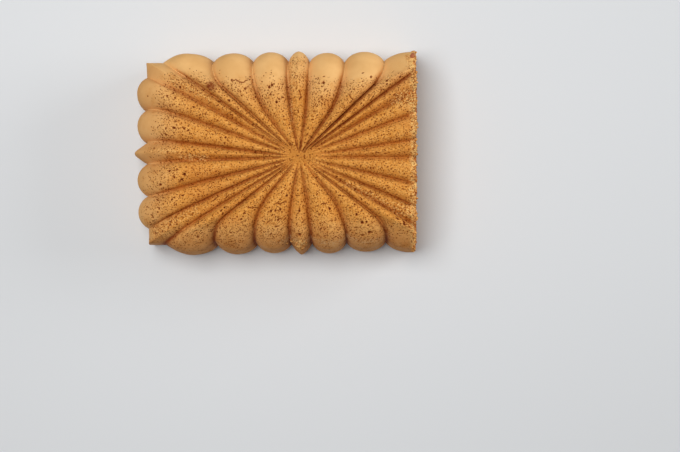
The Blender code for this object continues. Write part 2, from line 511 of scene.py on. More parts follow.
@dataclass
class Loaf:
    """The loaf's whole outer surface as a grid of stations and rows, with the marks that the finishes read.

    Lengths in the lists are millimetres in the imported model's frame.
    """

    tin: Tin = field(default_factory=Tin)
    rows: Rows = field(default_factory=Rows)
    station_gap: float = 0.56 * MM
    groove_cut: float = 0.55 * MM
    groove_half_width: float = 0.62 * MM
    unevenness: float = 0.22 * MM
    roughness: float = 0.10 * MM
    crumble_height: float = 1.15 * MM
    worn_edge: float = 1.1 * MM
    frayed: float = 2.4 * MM
    fray_reach: float = 2.4 * MM
    fray_lengths: Pair = (6.5 * MM, 1.7 * MM)
    groove_hollow: float = 0.7 * MM
    hollow_half_width: float = 2.3 * MM
    base_roughness: float = 0.5 * MM
    knot_flatness: float = 0.45  # share of a rib's height that is left at the knot
    # how far over the shoulder the pores start, and how much further at the back
    pore_start: Pair = (0.22, 0.24)
    pore_start_back_rib: float = -0.35  # change for the middle rib at the back
    pore_wave: float = 0.30
    worn_reach: float = 1.6 * MM
    recess_half_width: float = 2.4 * MM
    brown_half_width: float = 5.2 * MM
    # way faced by the flanks that get painted shade, away from the light
    painted_shade_way: Triple = (0.55, -0.83, 0.0)
    lump_size: float = 2.6 * MM
    blister: Triple = (-38.7, 41.6, 3.3)  # x, y, radius
    crack_radii: Pair = (0.26, 0.5)
    crack_step: float = 0.35
    crack_wander: float = 0.12
    grain_seeds: tuple[int, int] = (21, 22)
    pit_seed: int = 33
    groove_looks: tuple[Triple, ...] = (
        # way from the knot in degrees, how far from it the grooves start in millimetres, how dark they are
        (0, 19, 0.50), (20, 17, 0.55), (35, 9, 0.85), (50, 5, 1.0), (90, 4, 1.0), (104, 6, 0.85),
        (120, 10, 0.55), (140, 13, 0.5), (160, 13, 0.6), (180, 13, 0.75), (200, 12, 0.75), (220, 13, 0.55),
        (240, 8, 0.7), (270, 7, 0.8), (290, 9, 0.7), (310, 14, 0.6), (335, 16, 0.6), (360, 19, 0.50),
    )
    small_pits: int = 5200
    small_pit_radii: Pair = (0.28 * MM, 0.62 * MM)
    pits: tuple[Triple, ...] = (
        (-66.9, 35.7, 0.7), (-61.9, 34.3, 0.7), (-59.0, 41.4, 0.8), (-49.9, 28.2, 0.7), (-27.2, 32.2, 0.85),
        (-34.4, 44.8, 0.6), (-16.7, 39.5, 0.7), (-1.7, 40.6, 0.85), (0.4, 41.4, 0.85), (-0.5, 35.0, 0.65),
        (5.1, 32.5, 0.7), (7.2, 33.9, 0.65), (3.2, 30.5, 0.85), (-4.2, 22.5, 0.7), (33.3, 43.0, 0.9),
        (33.5, 47.1, 0.6), (58.5, 49.0, 0.65), (63.8, 46.0, 0.75), (73.8, 43.9, 0.9), (74.0, 41.3, 0.7),
        (75.0, 38.8, 0.8), (82.6, 45.7, 0.6), (57.2, 29.4, 0.65), (-62.9, 14.8, 0.9), (-62.2, 19.5, 0.6),
        (-68.1, 14.4, 0.65), (-56.4, 14.2, 0.65), (-53.5, 13.4, 0.65), (-68.3, 10.7, 0.6),
        (-29.7, 8.5, 0.65), (-66.2, -12.6, 0.8), (-61.4, -11.2, 0.65), (-56.1, -14.8, 1.0),
        (-57.8, -18.2, 0.85), (-62.9, -16.7, 0.7), (-72.2, -21.2, 0.85), (-57.9, -28.1, 0.65),
        (-64.5, -30.9, 0.7), (-73.4, -36.7, 0.65), (-77.5, -42.0, 0.65), (-68.0, -48.7, 0.65),
        (-31.0, -36.2, 0.8), (-33.1, -38.2, 0.7), (-37.5, -30.8, 0.7), (-45.9, -44.2, 0.85),
        (-39.6, -50.7, 0.65), (-48.6, -55.1, 0.7), (-71.7, -51.1, 0.7), (-77.0, -52.2, 0.8),
        (-1.3, -38.8, 0.85), (1.4, -38.7, 0.7), (4.9, -38.3, 0.8), (9.1, -29.1, 0.8), (3.1, -45.0, 0.7),
        (2.5, -48.7, 0.65), (-18.5, -40.4, 0.65), (-20.4, -44.1, 0.7), (-27.3, -52.9, 0.65),
        (16.9, -39.0, 0.9), (16.7, -54.2, 0.85), (36.4, -37.7, 0.85), (53.2, -42.0, 0.85),
        (57.0, -47.1, 1.05), (59.8, -47.0, 0.7), (61.6, -53.6, 0.85), (84.1, -47.0, 1.1),
        (84.1, -48.4, 1.1), (79.8, -44.5, 1.0), (41.0, -17.3, 0.8), (90.2, -42.9, 0.8),
    )
    cracks: tuple[tuple[Pair, ...], ...] = (
        ((-26.2, 45.3), (-21.5, 44.9), (-20.1, 43.6), (-18.0, 43.6), (-16.4, 44.8), (-13.5, 46.6)),
        ((31.8, 34.0), (34.2, 31.9), (36.6, 30.9)),
        ((48.9, 35.8), (51.0, 32.5), (52.2, 31.3), (53.8, 32.1)),
        ((-16.0, -36.2), (-13.9, -37.1), (-11.1, -36.6), (-8.7, -37.3)),
        ((2.0, -33.7), (4.9, -34.2), (7.0, -33.6), (8.6, -32.8)),
        ((27.0, -36.5), (29.2, -36.0)),
        ((31.1, -34.8), (35.2, -34.3)),
        ((41.9, -29.5), (47.5, -30.1)),
        ((17.5, 38.2), (18.7, 34.9), (17.6, 31.4)),
        ((27.4, 30.2), (28.6, 29.0)),
        ((39.2, -56.5), (40.5, -55.7)),
        ((62.9, -26.6), (63.2, -29.1)),
        ((-67.0, -47.1), (-65.6, -43.9)),
    )
    crumbly: tuple[tuple[float, float, float, float, float, float], ...] = (
        # from x, y to x, y, half width, strength
        (-64.5, 45.2, -40.9, 34.0, 2.4, 0.55), (-77.8, -51.5, -50.0, -37.5, 3.2, 0.6),
        (48.1, -22.0, 80.0, -38.5, 2.4, 0.6), (80.0, -38.0, 93.0, -42.0, 4.5, 1.0),
        (83.5, 33.0, 93.0, 33.0, 5.5, 1.0), (78.0, 30.5, 84.0, 32.5, 2.2, 0.9),
        (-58.7, -3.4, -42.3, -4.6, 1.9, 1.0), (-77.9, 0.5, -60.0, -0.4, 1.2, 0.5),
        (88.0, 60.0, 92.6, 44.0, 2.4, 0.8), (12.8, 40.0, 12.2, 12.0, 1.0, 0.6),
        (14.2, 59.0, 13.4, 40.0, 2.8, 0.55), (18.5, -61.5, 11.5, -61.5, 4.2, 1.0),
        (90.5, -46.0, 92.0, -60.0, 2.0, 0.7), (92.0, 20.0, 92.4, -34.0, 1.2, 0.6),
    )

    def build(self) -> None:
        """Works out the grid, its marks and its relief."""
        self.lay_stations()
        self.measure_grooves()
        self.find_skin()
        self.carve()
        self.centre()

    def lay_stations(self) -> None:
        """Places every station once round the loaf, anticlockwise from the corner at -X, -Y."""
        chance = np.random.default_rng(self.tin.seed)
        lines, starts, walls = [], [], []
        for wall in Wall:
            spans = self.tin.spans(wall, chance)
            for span in spans if wall.onward else reversed(spans):
                first, last = (span.start, span.end) if wall.onward else (span.end, span.start)
                steps = max(6, round((span.end - span.start) / self.station_gap))
                starts.append((len(lines), wall, span.kind))
                for i in range(steps):
                    station = Station(self.tin, wall, first + (last - first) * i / steps, span)
                    lines.append(station.line(self.rows))
                    walls.append(wall)
        self.points = np.array(lines)
        self.look_from_knot()
        self.points[..., 2] += self.tin.swell(self.points)
        self.starts = starts
        self.walls = walls
        self.zones = self.rows.zones
        self.over = self.rows.over[None, :]
        self.left = self.rows.left[None, :]
        steps = np.linalg.norm(np.diff(self.points, axis=1), axis=2)
        self.length = np.concatenate([np.zeros((len(lines), 1)), np.cumsum(steps, axis=1)], axis=1)

    def look_from_knot(self) -> None:
        """Finds how strong the grooves are at each point, and lowers the ribs where they meet."""
        knot = self.points[:, -1, :2].mean(axis=0)
        away = self.points[..., :2] - knot
        self.from_knot = np.linalg.norm(away, axis=2)
        foot = away[:, self.rows.base + self.rows.rim]
        way = np.degrees(np.arctan2(foot[:, 1], foot[:, 0])) % 360
        angles, starts, darks = np.array(self.groove_looks).T
        start = (np.interp(way, angles, starts) * MM)[:, None]
        self.near_knot = 1 - smooth(self.from_knot, 0.35 * start, 1.25 * start)
        self.dark = np.interp(way, angles, darks)[:, None] * (1 - self.near_knot)
        tin, left = self.tin, self.rows.left[None, :]
        flat = tin.top_at_centre + (tin.top_at_shoulder - tin.top_at_centre) * left**2
        kept = 1 - (1 - self.knot_flatness) * self.near_knot
        height = self.points[..., 2]
        on_top = self.rows.zones == Zone.TOP.value
        self.points[..., 2] = np.where(on_top, flat + (height - flat) * kept, height)

    def measure_grooves(self) -> None:
        """Finds each point's distance from the nearest groove, along its own ring."""
        ahead = np.linalg.norm(np.roll(self.points, -1, axis=0) - self.points, axis=2)
        self.ring_gap = ahead
        count = len(self.points)
        corners = {
            first for (first, wall, _), (_, before, _) in zip(self.starts, self.starts[-1:] + self.starts)
            if wall is not before
        }
        grooves = sorted({first for first, _, _ in self.starts} - corners)
        self.groove_stations = grooves
        distance = np.full(self.points.shape[:2], np.inf)
        for turn in (1, -1):
            order = np.arange(0, 2 * count)[::turn] % count
            run = np.full(self.points.shape[1], np.inf)
            for step, here in enumerate(order):
                if step:
                    run = run + ahead[order[step - 1] if turn == 1 else here]
                if here in grooves:
                    run = np.zeros_like(run)
                distance[here] = np.minimum(distance[here], run)
        self.groove = distance

    def on(self, wanted: Wall) -> np.ndarray:
        """Whether each station climbs this wall."""
        return np.array([wall is wanted for wall in self.walls])[:, None]

    def find_skin(self) -> None:
        """Finds how porous, crumbly and floury the crust is at each point."""
        self.grain, self.rough = map(Grain, self.grain_seeds)
        self.shift_found = self.shift()
        self.find_pores()
        self.find_crumble()
        self.find_flour()

    def find_pores(self) -> None:
        """Finds how porous the crust is, and how far its colour has turned from smooth to baked."""
        foot = self.points[:, self.rows.base + self.rows.rim, 1] / self.tin.half_width
        nearest, further = self.pore_start
        start = (nearest + further * np.clip(foot, -1, 1))[:, None]
        for (first, wall, kind), (last, _, _) in zip(self.starts, self.starts[1:]):
            if kind is Rib.MIDDLE and wall is Wall.BACK:
                start[first:last] += self.pore_start_back_rib
        wave = self.grain.layered(self.points, 9 * MM, 4)
        pore = smooth(self.over + self.pore_wave * wave, start - 0.18, start + 0.40)
        self.tone = smooth(self.over + 1 - self.left + 0.10 * wave, start - 0.2, start + 1.0)
        pore *= (1 - 0.3 * self.near_knot) * (0.82 + 0.3 * self.rough.at(self.points, 14 * MM))
        self.pore = np.clip(pore, 0, 1)

    def find_crumble(self) -> None:
        """Finds how crumbly the crust is, on its rough stretches and along the cut."""
        points = self.points
        plan = points[..., :2] + self.shift_found
        ragged = self.rough.at(points, 2.5 * MM) * 0.6 * MM
        crumble = np.zeros(points.shape[:2])
        for x0, y0, x1, y1, half, strength in self.crumbly:
            a, b = np.array((x0, y0)) * MM, np.array((x1, y1)) * MM
            t = np.clip(((plan - a) @ (b - a)) / np.sum((b - a) ** 2), 0, 1)
            gap = np.linalg.norm(plan - (a + t[..., None] * (b - a)), axis=-1) + ragged
            crumble = np.maximum(crumble, strength * (1 - smooth(gap, 0.55 * half * MM, 1.2 * half * MM)))
        inward = -self.tin.past_cut(points) + 2.6 * MM * self.rough.layered(points + 0.5, 6 * MM, 2)
        self.rim = (1 - smooth(inward, 1.6 * MM, 5.0 * MM)) * smooth(self.over, 0.0, 0.1)
        crumble = np.maximum(crumble, self.rim * 0.8)
        self.crumble = crumble * (self.zones >= Zone.WALL.value) * smooth(self.over, 0.0, 0.03)

    def find_flour(self) -> None:
        """Finds how floury the crust is, low on the walls and along the front ribs' shoulders."""
        points = self.points
        low = 1 - smooth(points[..., 2], 6 * MM, 34 * MM)
        flour = smooth(self.grain.at(points + 0.05, 16 * MM), 0.0, 0.5) * low * 0.6
        edge = bell(self.over - 0.14 + 0.05 * self.rough.at(points, 5 * MM), 0.06)
        edge = edge * smooth(points[..., 0], -24 * MM, -8 * MM) * smooth(points[..., 0], 66 * MM, 50 * MM)
        flour = np.maximum(flour, edge * self.on(Wall.FRONT))
        self.flour = np.clip(flour, 0, 1) * (self.zones[None, :] >= Zone.RIM.value)

    def shift(self) -> np.ndarray:
        """Finds the step from the tin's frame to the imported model's.

        Returns:
            The step in plan.
        """
        kept = self.points[self.tin.past_cut(self.points) < 0]
        lowest, highest = kept.min(axis=0), kept.max(axis=0)
        highest[0] = self.tin.cut_x - highest[1] * math.tan(self.tin.cut_skew)
        return -((lowest + highest) / 2)[:2]

    def normals(self) -> np.ndarray:
        """The surface's normals.

        Returns:
            One for each point.
        """
        across = np.roll(self.points, -1, axis=0) - np.roll(self.points, 1, axis=0)
        up = np.gradient(self.points, axis=1)
        normal = np.cross(across, up)
        return normal / (np.linalg.norm(normal, axis=2)[..., None] + 1e-15)

    def window(self, station: int, row: int, radius: float) -> tuple[np.ndarray, np.ndarray, np.ndarray]:
        """The grid's points round one of them.

        Args:
            station: the middle point's station.
            row: its row.
            radius: how far the window reaches.

        Returns:
            The stations, the rows and their points' distances from the middle.
        """
        count, depth = self.points.shape[:2]
        across = int(min(count // 3, radius / max(self.ring_gap[station, row], 1e-6) + 2))
        around = self.points[station, min(row + 1, depth - 1)] - self.points[station, row - 1]
        along_gap = np.linalg.norm(around) / 2
        along = int(min(60, radius / max(along_gap, 1e-6) + 2))
        stations = np.arange(station - across, station + across + 1) % count
        low = max(self.rows.base, row - along)
        rows = np.arange(low, min(depth, row + along + 1))
        part = self.points[np.ix_(stations, rows)]
        return stations, rows, np.linalg.norm(part - self.points[station, row], axis=2)

    def dent(self, station: int, row: int, radius: float, depth: float, dark: float = 1.0) -> None:
        """Presses a round hole into the relief.

        Args:
            station: the hole's station.
            row: its row.
            radius: its radius.
            depth: its depth.
            dark: how dark its bottom is painted, partly the crust's own darker colour and partly painted shade
                in the hole.
        """
        stations, rows, gap = self.window(station, row, radius)
        bowl = np.clip(1 - (gap / radius) ** 2, 0, 1)
        place = np.ix_(stations, rows)
        self.relief[place] = np.minimum(self.relief[place], -depth * bowl**0.7)
        self.pit[place] = np.maximum(self.pit[place], dark * np.minimum(1, bowl * 1.6))

    def nearest(self, x: float, y: float) -> tuple[int, int]:
        """The top's grid point nearest to a place in plan.

        Args:
            x: in millimetres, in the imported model's frame.
            y: likewise.

        Returns:
            Its station and its row.
        """
        first = self.rows.base + self.rows.rim + self.rows.wall
        target = np.array((x, y)) * MM - self.shift_found
        gap = np.sum((self.points[:, first:, :2] - target) ** 2, axis=2)
        station, row = np.unravel_index(np.argmin(gap), gap.shape)
        return int(station), int(row) + first

    def carve(self) -> None:
        """Works out the relief and moves the points by it."""
        points = self.points
        self.pit, self.scorch, self.relief = np.zeros((3, *points.shape[:2]))
        chance = np.random.default_rng(self.pit_seed)
        self.carve_pits(chance)
        self.carve_cracks(chance)
        self.carve_blister()
        crust = self.zones[None, :] >= Zone.RIM.value
        relief = self.relief * smooth(self.over, 0.0, 0.1)
        relief = relief + self.unevenness * self.grain.layered(points, 13 * MM, 2) * crust
        relief += self.roughness * self.rough.layered(points, 2.2 * MM, 2) * (0.25 + 0.75 * self.pore) * crust
        wander = np.abs(self.groove + 0.25 * MM * self.rough.at(points, 3 * MM))
        line = bell(wander, self.groove_half_width * (0.4 + 0.6 * smooth(self.from_knot, 6 * MM, 48 * MM)))
        relief -= self.groove_cut * line * smooth(self.over, 0.02, 0.75) * self.dark
        hollow = bell(self.groove, self.hollow_half_width) * (1 - self.near_knot)
        relief -= self.groove_hollow * hollow * smooth(self.over, 0.1, 0.7) * (0.5 + 0.5 * self.dark)
        lumps = np.abs(self.rough.layered(points + 0.11, self.lump_size, 3)) * 2.4 - 0.6
        relief += self.crumble_height * self.crumble * lumps
        worn = bell(np.maximum(-self.tin.past_cut(points), 0), self.worn_reach, 1.0)
        worn = worn * smooth(self.over, 0.02, 0.3)
        relief -= self.worn_edge * worn * (0.55 + self.rough.layered(points + 0.4, 4.4 * MM, 2))
        base = self.zones[None, :] == Zone.BASE.value
        dents = smooth(self.rough.layered(points + 0.2, 3.4 * MM, 3), -0.1, 0.6) * self.base_roughness
        normal = self.normals()
        self.points = points + normal * relief[..., None]
        self.points[..., 2] = np.maximum(self.points[..., 2] + np.where(base, dents, 0.0), 0.0)
        self.brown_grooves(points, normal, line, crust)

    def brown_grooves(
        self, points: np.ndarray, normal: np.ndarray, line: np.ndarray, crust: np.ndarray
    ) -> None:
        """Finds how dark the grooves are, how browned the crust beside and below them, where shade is painted
        (on flanks facing away from the light, on the lower front wall and in its recesses) and how much darker
        the lower left end is.

        Args:
            points: the surface before its relief.
            normal: its normals.
            line: 1 in the middle of a groove.
            crust: whether each row is on the crust and not on the base.
        """
        uneven = 0.85 + 0.3 * self.grain.at(points, 7 * MM)
        self.seam = line * smooth(self.over, 0.15, 0.95) * self.dark * uneven
        # painted shade: the recesses between the front lobes are darkened with the seam colour, low on the wall
        recess_painted_shade = bell(self.groove, self.recess_half_width) * self.on(Wall.FRONT) * crust
        self.seam = np.maximum(self.seam, recess_painted_shade * (1 - smooth(self.over, 0.2, 0.75)) * 0.85)
        # painted shade: browning is stronger on flanks that face front and right, away from the light
        facing_painted_shade = smooth(normal @ np.array(self.painted_shade_way), -0.12, 0.3)
        brown = bell(self.groove, self.brown_half_width, 1.4) * smooth(self.over, 0.1, 0.6)
        brown = brown * (0.12 + 0.88 * facing_painted_shade) * (0.45 + 0.55 * self.dark)
        brown *= 0.15 + 0.85 * smooth(self.from_knot, 8 * MM, 45 * MM)
        # painted shade: the lower front wall is browned because it faces away from the light
        front_painted_shade = self.on(Wall.FRONT) * (1 - smooth(self.over, 0.08, 0.6)) * crust
        # the lower left end is made darker, carried in the brown mark
        low_left = self.on(Wall.LEFT_END) * 0.25 * (1 - smooth(self.over, 0.3, 0.8)) * crust
        foot = 1 - smooth(points[..., 2], 1 * MM, 7 * MM)
        self.brown = np.maximum.reduce([brown, 0.62 * front_painted_shade, low_left, 0.6 * foot * crust])
        self.knot = self.near_knot**3

    def carve_pits(self, chance: np.random.Generator) -> None:
        """Presses in the pits, those with a place of their own and the many small ones.

        Args:
            chance: draws where the small ones are, and their sizes.
        """
        for x, y, radius in self.pits:
            station, row = self.nearest(x, y)
            self.dent(station, row, radius * 1.15 * MM, radius * 1.1 * MM)
        area = self.ring_gap * np.linalg.norm(np.gradient(self.points, axis=1), axis=2)
        clumps = 0.35 + smooth(self.grain.at(self.points + 0.3, 7 * MM), -0.2, 0.7)
        weight = (area * self.pore * clumps * (self.tin.past_cut(self.points) < 1 * MM)).ravel()
        spots = chance.choice(weight.size, self.small_pits, p=weight / weight.sum())
        low, high = self.small_pit_radii
        sizes = low + (high - low) * chance.uniform(0, 1, self.small_pits) ** 2.6
        for spot, radius in zip(spots, sizes):
            station, row = divmod(int(spot), self.points.shape[1])
            self.dent(station, row, radius, radius * 0.9, 0.35 + 0.6 * chance.uniform())

    def carve_cracks(self, chance: np.random.Generator) -> None:
        """Opens the cracks, each as a row of narrow uneven holes.

        Args:
            chance: draws how they wander.
        """
        for crack in self.cracks:
            for (x0, y0), (x1, y1) in zip(crack, crack[1:]):
                steps = max(2, int(math.hypot(x1 - x0, y1 - y0) / self.crack_step))
                for i in range(steps):
                    t = i / steps
                    x = x0 + (x1 - x0) * t + chance.normal(0, self.crack_wander)
                    y = y0 + (y1 - y0) * t + chance.normal(0, self.crack_wander)
                    radius = chance.uniform(*self.crack_radii) * MM
                    self.dent(*self.nearest(x, y), radius, radius * 1.1, 0.8)

    def carve_blister(self) -> None:
        """Raises the one dark ring where a bubble broke."""
        x, y, radius = self.blister
        station, row = self.nearest(x, y)
        stations, rows, gap = self.window(station, row, 6.0 * MM)
        place = np.ix_(stations, rows)
        gap = gap + 1.1 * MM * self.rough.layered(self.points[place] + 0.6, 2.6 * MM, 2)
        patch = bell(gap, radius * MM, 4.0)
        broken = self.rough.layered(self.points[place] + 0.2, 1.6 * MM, 2)
        self.relief[place] += patch * (0.2 * MM + 0.6 * MM * broken)
        self.pit[place] = np.maximum(self.pit[place], patch * smooth(broken, 0.05, -0.35) * 0.8)
        self.scorch[place] = np.maximum(self.scorch[place], np.clip(patch * (0.75 + 1.1 * broken), 0, 1))

    def centre(self) -> None:
        """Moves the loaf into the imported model's frame."""
        self.points[..., :2] += self.shift_found

    def fray(self, points: np.ndarray, gap: np.ndarray) -> np.ndarray:
        """How far the broken edge of the cut lies back from the plane of the cut.

        Args:
            points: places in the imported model's frame.
            gap: their distance from the edge.

        Returns:
            One depth for each point.
        """
        flat = points * (0.0, 1.0, 1.0)
        long, short = self.fray_lengths
        uneven = self.rough.layered(flat + 0.7, long, 3) + 0.5 * self.rough.at(flat + 0.9, short)
        high = smooth(points[:, 2], 4 * MM, 26 * MM)
        return self.frayed * np.maximum(0.0, 0.25 + uneven) * bell(gap, self.fray_reach, 1.0) * high

    def past_cut(self, points: np.ndarray) -> np.ndarray:
        """How far points lie beyond the cut.

        Args:
            points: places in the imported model's frame.

        Returns:
            One distance for each point, below zero on the cake's side.
        """
        moved = points.copy()
        moved[..., :2] -= self.shift_found
        return self.tin.past_cut(moved)


@dataclass
class Crust:
    """One sector of the crust, from the edge of the base to the point where the ribs meet."""

    name: str
    first: int
    last: int
    keep_beyond: float = 1.5 * MM

    def mesh(self, loaf: Loaf, first_row: int, last_row: int) -> tuple[bpy.types.Object, np.ndarray]:
        """Makes the sector's mesh, cut where the loaf is cut.

        Args:
            loaf: the whole surface.
            first_row: the first row that it has.
            last_row: the row after its last one.

        Returns:
            The new object, and the edges along the cut as pairs of points.
        """
        count = len(loaf.points)
        stations = np.arange(self.first, self.last + 1) % count
        rows = np.arange(first_row, last_row)
        place = np.ix_(stations, rows)
        points = loaf.points[place]
        wide, tall = points.shape[:2]
        beyond = loaf.past_cut(points)
        number = np.arange(wide * tall).reshape(wide, tall)
        quads, gaps = (
            np.stack([grid[:-1, :-1], grid[1:, :-1], grid[1:, 1:], grid[:-1, 1:]], axis=-1)
            for grid in (number, beyond)
        )
        quads = quads[gaps.min(axis=-1) < self.keep_beyond]
        marks = {name: getattr(loaf, name)[place].ravel() for name in CRUST_MARKS}
        return Piece(self.name, points.reshape(-1, 3), quads, marks, self.unrolled(loaf, place)).cut(loaf)

    def unrolled(self, loaf: Loaf, place: tuple) -> np.ndarray:
        """The sector laid flat: each point at its distance along its station's line.

        Args:
            loaf: the whole surface.
            place: the sector's stations and rows.

        Returns:
            One flat point for each grid point.
        """
        knot = loaf.points[:, -1, :2].mean(axis=0)
        foot = loaf.points[:, loaf.rows.base + loaf.rows.rim, :2] - knot
        way = foot / np.linalg.norm(foot, axis=1)[:, None]
        from_knot = loaf.length[:, -1:] - loaf.length
        flat = way[:, None, :] * from_knot[..., None]
        return flat[place].reshape(-1, 2)


@dataclass
class Piece:
    """A mesh in the making: its points, faces, marks and flat layout."""

    name: str
    points: np.ndarray
    faces: np.ndarray
    marks: dict[str, np.ndarray]
    spread: np.ndarray

    def object(self) -> bpy.types.Object:
        """Makes the object from the points that its faces use.

        Returns:
            The new object, linked to the scene.
        """
        used = np.unique(self.faces)
        renumber = np.zeros(len(self.points), dtype=np.int64)
        renumber[used] = np.arange(len(used))
        faces = renumber[self.faces]
        mesh = bpy.data.meshes.new(self.name)
        mesh.from_pydata(self.points[used].tolist(), [], faces.tolist())
        for name, values in self.marks.items():
            layer = mesh.attributes.new(name, "FLOAT", "POINT")
            layer.data.foreach_set("value", values[used].astype(np.float32))
        flat = self.spread[used]
        low, size = flat.min(axis=0), float(np.ptp(flat, axis=0).max())
        flat = (flat - low) / size * 0.98 + 0.01
        layer = mesh.uv_layers.new(name=BAKE_MAP)
        corners = np.zeros(len(mesh.loops), dtype=np.int64)
        mesh.loops.foreach_get("vertex_index", corners)
        layer.data.foreach_set("uv", flat[corners].astype(np.float32).ravel())
        return linked(self.name, mesh)

    def cut(self, loaf: Loaf) -> tuple[bpy.types.Object, np.ndarray]:
        """Makes the object and cuts it where the loaf is cut.

        Args:
            loaf: knows where the cut lies.

        Returns:
            The object, and the edges along the cut as pairs of points.
        """
        made = self.object()
        tin = loaf.tin
        place = (tin.cut_x + loaf.shift_found[0], loaf.shift_found[1], 0)
        edges = []
        shape = bmesh.new()
        shape.from_mesh(made.data)
        bmesh.ops.remove_doubles(shape, verts=shape.verts, dist=1e-7)
        if (loaf.past_cut(self.points) > 0).any():
            everything = list(shape.verts) + list(shape.edges) + list(shape.faces)
            found = bmesh.ops.bisect_plane(
                shape, geom=everything, dist=1e-7, plane_co=place,
                plane_no=(math.cos(tin.cut_skew), math.sin(tin.cut_skew), 0), clear_outer=True,
            )
            for item in found["geom_cut"]:
                if isinstance(item, bmesh.types.BMEdge):
                    edges.append([tuple(v.co) for v in item.verts])
        shape.to_mesh(made.data)
        shape.free()
        places = np.zeros(len(made.data.vertices) * 3, dtype=np.float32)
        made.data.vertices.foreach_get("co", places)
        places = places.reshape(-1, 3).astype(float)
        places[:, 0] -= loaf.fray(places, -loaf.past_cut(places))
        made.data.vertices.foreach_set("co", places.astype(np.float32).ravel())
        made.data.shade_smooth()
        return made, np.array(edges).reshape(-1, 2, 3)


class Term:
    """An output of a shader node that can stand in sums: value maths becomes Math nodes."""

    def __init__(self, graph: "Graph", socket: bpy.types.NodeSocket) -> None:
        """Wraps a socket of a graph."""
        self.graph = graph
        self.socket = socket

    def maths(self, operation: str, *others: Any) -> "Term":
        """The value of a Math node on this one and further values or terms."""
        return self.graph.add("ShaderNodeMath", {"operation": operation}, dict(enumerate((self, *others))))

    def __add__(self, other: Any) -> "Term":
        """Sum."""
        return self.maths("ADD", other)

    def __sub__(self, other: Any) -> "Term":
        """Difference."""
        return self.maths("SUBTRACT", other)

    def __rsub__(self, other: float) -> "Term":
        """Difference from a number."""
        return self.graph.add("ShaderNodeMath", {"operation": "SUBTRACT"}, {0: other, 1: self})

    def __mul__(self, other: Any) -> "Term":
        """Product."""
        return self.maths("MULTIPLY", other)

    __radd__ = __add__
    __rmul__ = __mul__

    def most(self, other: Any) -> "Term":
        """The larger of two."""
        return self.maths("MAXIMUM", other)

    def rise(self, start: Any, end: Any) -> "Term":
        """Goes softly from 0 at start to 1 at end, both values or terms."""
        inputs = {"Value": self, "From Min": start, "From Max": end}
        return self.graph.add("ShaderNodeMapRange", {"interpolation_type": "SMOOTHSTEP"}, inputs)


class Graph:
    """A material's nodes."""

    def __init__(self, name: str) -> None:
        """Makes the material with its shader.

        Args:
            name: the material's name.
        """
        self.material = bpy.data.materials.new(name)
        self.material.use_nodes = True
        self.nodes = self.material.node_tree.nodes
        self.links = self.material.node_tree.links
        self.shader = self.nodes["Principled BSDF"]

    def add(self, kind: str, settings: dict[str, Any], inputs: dict[Any, Any], output: Any = 0) -> Term:
        """Adds a node.

        Args:
            kind: the node's type.
            settings: its properties, set first.
            inputs: values or terms by the socket's name or number.
            output: the name or number of the output that is wanted.

        Returns:
            That output.
        """
        node = self.nodes.new(kind)
        for key, value in settings.items():
            setattr(node, key, value)
        for key, value in inputs.items():
            self.feed(node.inputs[key], value)
        return Term(self, node.outputs[output])

    def feed(self, socket: bpy.types.NodeSocket, value: Any) -> None:
        """Links a term to a socket, or sets its value.

        Args:
            socket: the socket.
            value: a term, a colour or a number.
        """
        if isinstance(value, Term):
            self.links.new(value.socket, socket)
        elif isinstance(value, tuple) and socket.type == "RGBA":
            socket.default_value = (*value, 1.0)
        else:
            socket.default_value = value

    def mark(self, name: str) -> Term:
        """One of the mesh's own marks."""
        return self.add("ShaderNodeAttribute", {"attribute_name": name}, {}, "Fac")

    def place(self) -> Term:
        """The point's place on the object, in metres."""
        return self.add("ShaderNodeTexCoord", {}, {}, "Object")

    def shifted(self, place: Term, x: float, y: float, z: float) -> Term:
        """The place moved by a fixed step."""
        return self.add("ShaderNodeVectorMath", {"operation": "ADD"}, {0: place, 1: (x, y, z)})

    def noise(self, place: Term, size: float, detail: float = 2.0, rough: float = 0.5) -> Term:
        """Soft noise of 0 to 1, with swells of this size in metres and finer layers on top."""
        inputs = {"Vector": place, "Scale": 1 / size, "Detail": detail, "Roughness": rough}
        return self.add("ShaderNodeTexNoise", {"noise_dimensions": "3D"}, inputs, 0)

    def holes(
        self, place: Term, size: float, small: float, large: float, open_share: Any = 1.0, soft: float = 0.4
    ) -> Term:
        """Round holes of many sizes, spread at random.

        Args:
            place: where they are read.
            size: how far apart they are, in metres.
            small: the smallest radius, as a share of size.
            large: the largest one.
            open_share: the share of the holes that are open, as a value or a term.
            soft: how soft their edge is, as a share of the radius.

        Returns:
            How deep in a hole the place is, from 0 to 1.
        """
        inputs = {"Vector": place, "Scale": 1 / size}
        distance = self.add("ShaderNodeTexVoronoi", {"feature": "F1"}, inputs, "Distance")
        colour = Term(self, distance.socket.node.outputs["Color"])
        own = self.add("ShaderNodeSeparateColor", {}, {0: colour}, 0)
        turn = Term(self, own.socket.node.outputs[1])
        radius = own * own * (large - small) + small
        return distance.rise(radius, radius * (1 - soft)) * (open_share - turn).rise(0.0, 0.08)

    def layers(self, colour: Any, *coats: tuple[Any, Any]) -> Any:
        """Mixes colours over one another.

        Args:
            colour: the colour at the bottom.
            coats: pairs of a colour and how much of it covers what is below.

        Returns:
            The colour on top.
        """
        settings = {"data_type": "RGBA", "blend_type": "MIX", "clamp_factor": True}
        for coat, factor in coats:
            colour = self.add("ShaderNodeMix", settings, {0: factor, 6: colour, 7: coat}, 2)
        return colour

    def bump(self, height: Term, depth: float, strength: float = 1.0) -> Term:
        """Normals from a height of 0 to 1, where 1 is this many metres."""
        return self.add("ShaderNodeBump", {}, {"Height": height, "Distance": depth, "Strength": strength})

    def set(self, **values: Any) -> None:
        """Sets the shader's sockets, with spaces written as underscores."""
        for key, value in values.items():
            self.feed(self.shader.inputs[key.replace("_", " ")], value)


